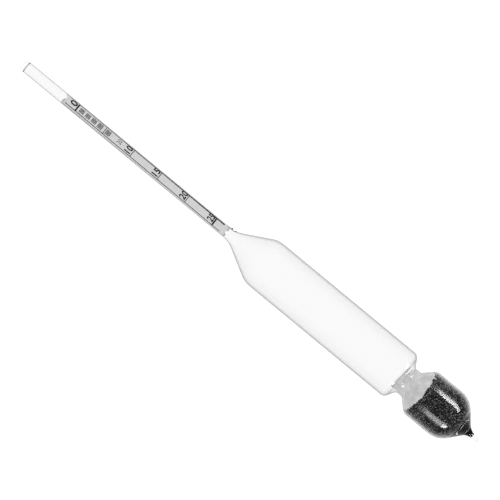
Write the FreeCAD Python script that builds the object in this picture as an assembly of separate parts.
import FreeCAD, Part
import math
import os

# A glass hydrometer for brewing and winemaking, in millimetres.
#
# +Z runs up the stem, the way the hydrometer floats. The origin is on the stem's axis at the zero
# graduation, where the surface of plain water cuts the stem. The scale is read from -Y. The glass
# is five pieces that a flame joins end to end: the seal that closes the stem, the stem tube, the
# float, the ballast bulb and the solid tail. Inside are the rolled paper scale with its dabs of
# glue, the ballast shot, and the resin that was poured over the shot to lock it.

# ---------------------------------------------------------------- driving dimensions
# The scale: 25 units, evenly spaced, printed on a rolled slip of paper.
SCALE_UNITS = 25
UNIT_PITCH = 3.012
PAPER_ABOVE_ZERO = 6.7
PAPER_BELOW_LAST = 6.4
PAPER_THICKNESS = 0.12
PAPER_SEAM_ANGLE = 24.0
PAPER_CLEARANCE = 0.05

# The stem tube, and the glass that seals its top.
STEM_RADIUS = 2.55
STEM_WALL = 0.32
STEM_ABOVE_ZERO = 27.5
STEM_BELOW_PAPER = 0.8
SEAL_HEIGHT = 2.3
SEAL_HOLLOW = 0.4

# The float: a flared shoulder, a straight tube, a steep base and half of the neck.
BODY_WALL = 0.55
FLOAT_RADIUS = 11.5
FLOAT_LENGTH = 76.2
SHOULDER_ANGLE = 28.8
SHOULDER_ROOT_LEAD = 2.6
SHOULDER_TOP_FILLET = 11.0
BASE_ANGLE = 60.0
BASE_FILLET = 2.75
NECK_RADIUS = 6.5
NECK_LENGTH = 3.1
NECK_FILLET = 1.9

# The ballast bulb: a shoulder, a straight tube and a round end that narrows to the tail.
BULB_RADIUS = 11.4
BULB_LENGTH = 18.2
BULB_SHOULDER_ANGLE = 45.0
BULB_SHOULDER_FILLET = 4.1
BULB_END_ANGLE = 50.0
BULB_END_FILLET = 10.25
BULB_FLOOR_GLASS = 0.8

# The tail: the solid glass left where the tube was drawn off.
TAIL_ROOT_RADIUS = 4.3
TAIL_LENGTH = 7.6
TAIL_TIP_RADIUS = 1.15
TAIL_FILLET = 5.4

# The ballast: shot up to a slanted surface, and resin over it up into the base of the float.
SHOT_BELOW_NECK = 5.5
SHOT_SLANT = 11.0
RESIN_ABOVE_NECK = 2.8

# The dabs of glue that hold the two ends of the paper to the stem.
GLUE_HEIGHT = 0.65
GLUE_DEPTH = 0.45
GLUE_ARC = 50.0
GLUE_WAIST = 0.4
UPPER_GLUE_AT = (35.0, 160.0, 285.0)
LOWER_GLUE_AT = (0.0, 190.0)

# ---------------------------------------------------------------- places worked out from them
FULL_TURN = 360.0
SAME_SPOT = 1e-6
STEM_BORE = STEM_RADIUS - STEM_WALL
PAPER_RADIUS = STEM_BORE - PAPER_CLEARANCE
PAPER_TOP = PAPER_ABOVE_ZERO
PAPER_BOTTOM = -SCALE_UNITS * UNIT_PITCH - PAPER_BELOW_LAST


def taper(wide, narrow, angle):
    """The height over which a cone at this angle to the axis goes from one radius to another."""
    return (wide - narrow) / math.tan(math.radians(angle))


def fillet_reach(radius, turn):
    """How far from a corner its fillet starts."""
    return radius * math.tan(math.radians(turn) / 2)


STEM_WELD = PAPER_BOTTOM - STEM_BELOW_PAPER
SHOULDER_ROOT = STEM_WELD - SHOULDER_ROOT_LEAD
SHOULDER_ROOT_FILLET = SHOULDER_ROOT_LEAD / math.tan(math.radians(SHOULDER_ANGLE) / 2)
SHOULDER_TOP = SHOULDER_ROOT - taper(FLOAT_RADIUS, STEM_RADIUS, SHOULDER_ANGLE)
BASE_TOP = SHOULDER_TOP - FLOAT_LENGTH
NECK_TOP = BASE_TOP - taper(FLOAT_RADIUS, NECK_RADIUS, BASE_ANGLE)
NECK_WELD = NECK_TOP - NECK_LENGTH / 2
NECK_BOTTOM = NECK_TOP - NECK_LENGTH
BULB_TOP = NECK_BOTTOM - taper(BULB_RADIUS, NECK_RADIUS, BULB_SHOULDER_ANGLE)
BULB_BOTTOM = BULB_TOP - BULB_LENGTH
BULB_ROUND_TOP = BULB_BOTTOM + fillet_reach(BULB_END_FILLET, BULB_END_ANGLE)
TAIL_WELD = BULB_BOTTOM - taper(BULB_RADIUS, TAIL_ROOT_RADIUS, BULB_END_ANGLE)
BULB_FLOOR = TAIL_WELD + BULB_FLOOR_GLASS
TAIL_ROOT = TAIL_WELD - taper(TAIL_ROOT_RADIUS, TAIL_TIP_RADIUS, BULB_END_ANGLE)
TAIL_END = TAIL_WELD - TAIL_LENGTH
SHOT_TOP = NECK_WELD - SHOT_BELOW_NECK
RESIN_TOP = NECK_WELD + RESIN_ABOVE_NECK

# Outer outlines, top to bottom: each corner is (radius, height, radius of its fillet).
FLOAT_OUTLINE = [
    (STEM_RADIUS, STEM_WELD, 0),
    (STEM_RADIUS, SHOULDER_ROOT, SHOULDER_ROOT_FILLET),
    (FLOAT_RADIUS, SHOULDER_TOP, SHOULDER_TOP_FILLET),
    (FLOAT_RADIUS, BASE_TOP, BASE_FILLET),
    (NECK_RADIUS, NECK_TOP, NECK_FILLET),
    (NECK_RADIUS, NECK_WELD, 0),
]
BULB_OUTLINE = [
    (NECK_RADIUS, NECK_WELD, 0),
    (NECK_RADIUS, NECK_BOTTOM, NECK_FILLET),
    (BULB_RADIUS, BULB_TOP, BULB_SHOULDER_FILLET),
    (BULB_RADIUS, BULB_BOTTOM, BULB_END_FILLET),
    (TAIL_ROOT_RADIUS, TAIL_WELD, 0),
]
TAIL_OUTLINE = [
    (TAIL_ROOT_RADIUS, TAIL_WELD, 0),
    (TAIL_TIP_RADIUS, TAIL_ROOT, TAIL_FILLET),
    (TAIL_TIP_RADIUS, TAIL_END + TAIL_TIP_RADIUS, 0),
]


# ---------------------------------------------------------------- half sections
def spot(radius, height):
    """A point of a half section: the radius along +X, the height along +Z."""
    return FreeCAD.Vector(radius, 0, height)


def straight(start, end):
    return Part.LineSegment(start, end).toShape()


def run(corners):
    """Straight edges joined by tangent arcs, through corners (radius, height, fillet)."""
    edges = []
    last = spot(*corners[0][:2])
    finish = spot(*corners[-1][:2])
    for before, corner, after in zip(corners, corners[1:], corners[2:]):
        tip = spot(*corner[:2])
        back = (spot(*before[:2]) - tip).normalize()
        onward = (spot(*after[:2]) - tip).normalize()
        half = back.getAngle(onward) / 2
        start = tip + back * (corner[2] / math.tan(half))
        end = tip + onward * (corner[2] / math.tan(half))
        inward = (back + onward).normalize()
        crown = tip + inward * (corner[2] / math.sin(half) - corner[2])
        if (start - last).Length > SAME_SPOT:
            edges.append(straight(last, start))
        edges.append(Part.Arc(start, crown, end).toShape())
        last = end
    if (finish - last).Length > SAME_SPOT:
        edges.append(straight(last, finish))
    return edges


def inset(corners, wall):
    """The same corners moved in by a wall, with fillets that keep the wall's thickness."""
    inward = []
    for (r0, z0, _), (r1, z1, _) in zip(corners, corners[1:]):
        length = math.hypot(r1 - r0, z1 - z0)
        inward.append(((z1 - z0) / length, (r0 - r1) / length))
    first = (corners[0][0] + inward[0][0] * wall, corners[0][1], 0)
    middle = []
    for before, after, (radius, height, fillet) in zip(inward, inward[1:], corners[1:-1]):
        share = wall / (1 + before[0] * after[0] + before[1] * after[1])
        turn = before[0] * after[1] - before[1] * after[0]
        middle.append((
            radius + share * (before[0] + after[0]),
            height + share * (before[1] + after[1]),
            fillet + math.copysign(wall, turn),
        ))
    last = (corners[-1][0] + inward[-1][0] * wall, corners[-1][1], 0)
    return [first, *middle, last]


def float_inside():
    """The float's inner corners, which start in line with the stem's bore."""
    corners = inset(FLOAT_OUTLINE, BODY_WALL)
    root = corners[1][1] - taper(STEM_BORE, corners[1][0], SHOULDER_ANGLE)
    fillet = (STEM_WELD - root) / math.tan(math.radians(SHOULDER_ANGLE) / 2)
    return [(STEM_BORE, STEM_WELD, 0), (STEM_BORE, root, fillet), *corners[2:]]


def bulb_inside():
    """The bulb's inner corners, as far as its round floor."""
    corners = inset(BULB_OUTLINE, BODY_WALL)
    return [*corners[:3], (BULB_RADIUS - BODY_WALL, BULB_ROUND_TOP, 0)]


def dome(radius, base, height):
    """A wall at this radius rounded over to the axis, up or down by the height."""
    fillet = min(radius, abs(height))
    return run([(radius, base, 0), (radius, base + height, fillet), (0, base + height, 0)])


def cap(radius, base, height):
    """A shallow part of a sphere over a circle of this radius."""
    sphere = (radius ** 2 + height ** 2) / (2 * height)
    centre = base + height - sphere
    side = spot(radius / 2, centre + math.sqrt(sphere ** 2 - radius ** 2 / 4))
    return Part.Arc(spot(radius, base), side, spot(0, base + height)).toShape()


def turned(edges, angle=FULL_TURN):
    """The solid that a closed half section sweeps round the axis."""
    section = Part.Face(Part.Wire(Part.__sortEdges__(edges)))
    return section.revolve(FreeCAD.Vector(), FreeCAD.Vector(0, 0, 1), angle)


# ---------------------------------------------------------------- the glass
def stem_tube():
    outside = [spot(STEM_RADIUS, STEM_WELD), spot(STEM_RADIUS, STEM_ABOVE_ZERO)]
    inside = [spot(STEM_BORE, STEM_ABOVE_ZERO), spot(STEM_BORE, STEM_WELD)]
    return turned(Part.makePolygon([*outside, *inside, outside[0]]).Edges)


def stem_seal():
    """Glass melted together over the stem's end, hollowed a little underneath."""
    return turned([
        *dome(STEM_RADIUS, STEM_ABOVE_ZERO, SEAL_HEIGHT),
        straight(spot(0, STEM_ABOVE_ZERO + SEAL_HEIGHT), spot(0, STEM_ABOVE_ZERO + SEAL_HOLLOW)),
        cap(STEM_BORE, STEM_ABOVE_ZERO, SEAL_HOLLOW),
        straight(spot(STEM_BORE, STEM_ABOVE_ZERO), spot(STEM_RADIUS, STEM_ABOVE_ZERO)),
    ])


def float_body():
    inside = float_inside()
    return turned([
        *run(FLOAT_OUTLINE),
        *run(inside),
        straight(spot(STEM_BORE, STEM_WELD), spot(STEM_RADIUS, STEM_WELD)),
        straight(spot(*inside[-1][:2]), spot(NECK_RADIUS, NECK_WELD)),
    ])


def ballast_bulb():
    inside = bulb_inside()
    return turned([
        *run(BULB_OUTLINE),
        *run(inside),
        *dome(inside[-1][0], BULB_ROUND_TOP, BULB_FLOOR - BULB_ROUND_TOP),
        straight(spot(0, BULB_FLOOR), spot(0, TAIL_WELD)),
        straight(spot(0, TAIL_WELD), spot(TAIL_ROOT_RADIUS, TAIL_WELD)),
        straight(spot(*inside[0][:2]), spot(NECK_RADIUS, NECK_WELD)),
    ])


def tail():
    return turned([
        *run(TAIL_OUTLINE),
        *dome(TAIL_TIP_RADIUS, TAIL_END + TAIL_TIP_RADIUS, -TAIL_TIP_RADIUS),
        straight(spot(0, TAIL_END), spot(0, TAIL_WELD)),
        straight(spot(0, TAIL_WELD), spot(TAIL_ROOT_RADIUS, TAIL_WELD)),
    ])


# ---------------------------------------------------------------- the scale
def scale_paper():
    """The slip, rolled until its long edges nearly meet at the back of the stem."""
    inner = PAPER_RADIUS - PAPER_THICKNESS
    corners = [spot(PAPER_RADIUS, PAPER_TOP), spot(inner, PAPER_TOP), spot(inner, PAPER_BOTTOM)]
    corners.append(spot(PAPER_RADIUS, PAPER_BOTTOM))
    slip = turned(Part.makePolygon([*corners, corners[0]]).Edges, FULL_TURN - PAPER_SEAM_ANGLE)
    slip.rotate(FreeCAD.Vector(), FreeCAD.Vector(0, 0, 1), 90 + PAPER_SEAM_ANGLE / 2)
    return slip


def glue_dabs(paper_end, away, places):
    """Fillets of glue between the end of the paper and the stem's bore, as separate dabs."""
    dabs = []
    on_wall = spot(STEM_BORE, paper_end)
    on_paper = spot(STEM_BORE - GLUE_DEPTH, paper_end)
    far = spot(STEM_BORE, paper_end + away * GLUE_HEIGHT)
    waist = spot(STEM_BORE - GLUE_DEPTH * GLUE_WAIST, paper_end + away * GLUE_HEIGHT * GLUE_WAIST)
    for place in places:
        slope = Part.Arc(on_paper, waist, far).toShape()
        dab = turned([straight(on_wall, on_paper), slope, straight(far, on_wall)], GLUE_ARC)
        dab.rotate(FreeCAD.Vector(), FreeCAD.Vector(0, 0, 1), place - GLUE_ARC / 2)
        dabs.append(dab)
    return Part.makeCompound(dabs)


def upper_glue():
    return glue_dabs(PAPER_TOP, 1, UPPER_GLUE_AT)


def lower_glue():
    return glue_dabs(PAPER_BOTTOM, -1, LOWER_GLUE_AT)


# ---------------------------------------------------------------- the ballast
def hollow():
    """Everything inside the float and the bulb."""
    inside = bulb_inside()
    return turned([
        *run(float_inside()),
        *run(inside),
        *dome(inside[-1][0], BULB_ROUND_TOP, BULB_FLOOR - BULB_ROUND_TOP),
        straight(spot(0, BULB_FLOOR), spot(0, STEM_WELD)),
        straight(spot(0, STEM_WELD), spot(STEM_BORE, STEM_WELD)),
    ])


def below(height, slant):
    """A block whose top passes through the axis at this height and falls towards -Y."""
    side = 4 * (FLOAT_RADIUS + BULB_RADIUS)
    depth = FLOAT_LENGTH + BULB_LENGTH
    block = Part.makeBox(side, side, depth, FreeCAD.Vector(-side / 2, -side / 2, -depth))
    block.rotate(FreeCAD.Vector(), FreeCAD.Vector(1, 0, 0), slant)
    block.translate(FreeCAD.Vector(0, 0, height))
    return block


def ballast_shot():
    """The fill of small pellets, as one body with the outside of the whole fill."""
    return hollow().common(below(SHOT_TOP, SHOT_SLANT))


def ballast_resin():
    return hollow().common(below(RESIN_TOP, 0)).cut(below(SHOT_TOP, SHOT_SLANT))


PIECES = {
    "stem_seal": stem_seal,
    "stem_tube": stem_tube,
    "float_body": float_body,
    "ballast_bulb": ballast_bulb,
    "tail": tail,
    "scale_paper": scale_paper,
    "upper_glue": upper_glue,
    "lower_glue": lower_glue,
    "ballast_resin": ballast_resin,
    "ballast_shot": ballast_shot,
}

os.makedirs("parts", exist_ok=True)
for node, make in PIECES.items():
    shape = make()
    shape.exportStep(f"parts/{node}.step")
    box = shape.BoundBox
    print(node, "solids", len(shape.Solids), "valid", shape.isValid(),
          "volume", round(shape.Volume, 2), "z", round(box.ZMin, 3), round(box.ZMax, 3))
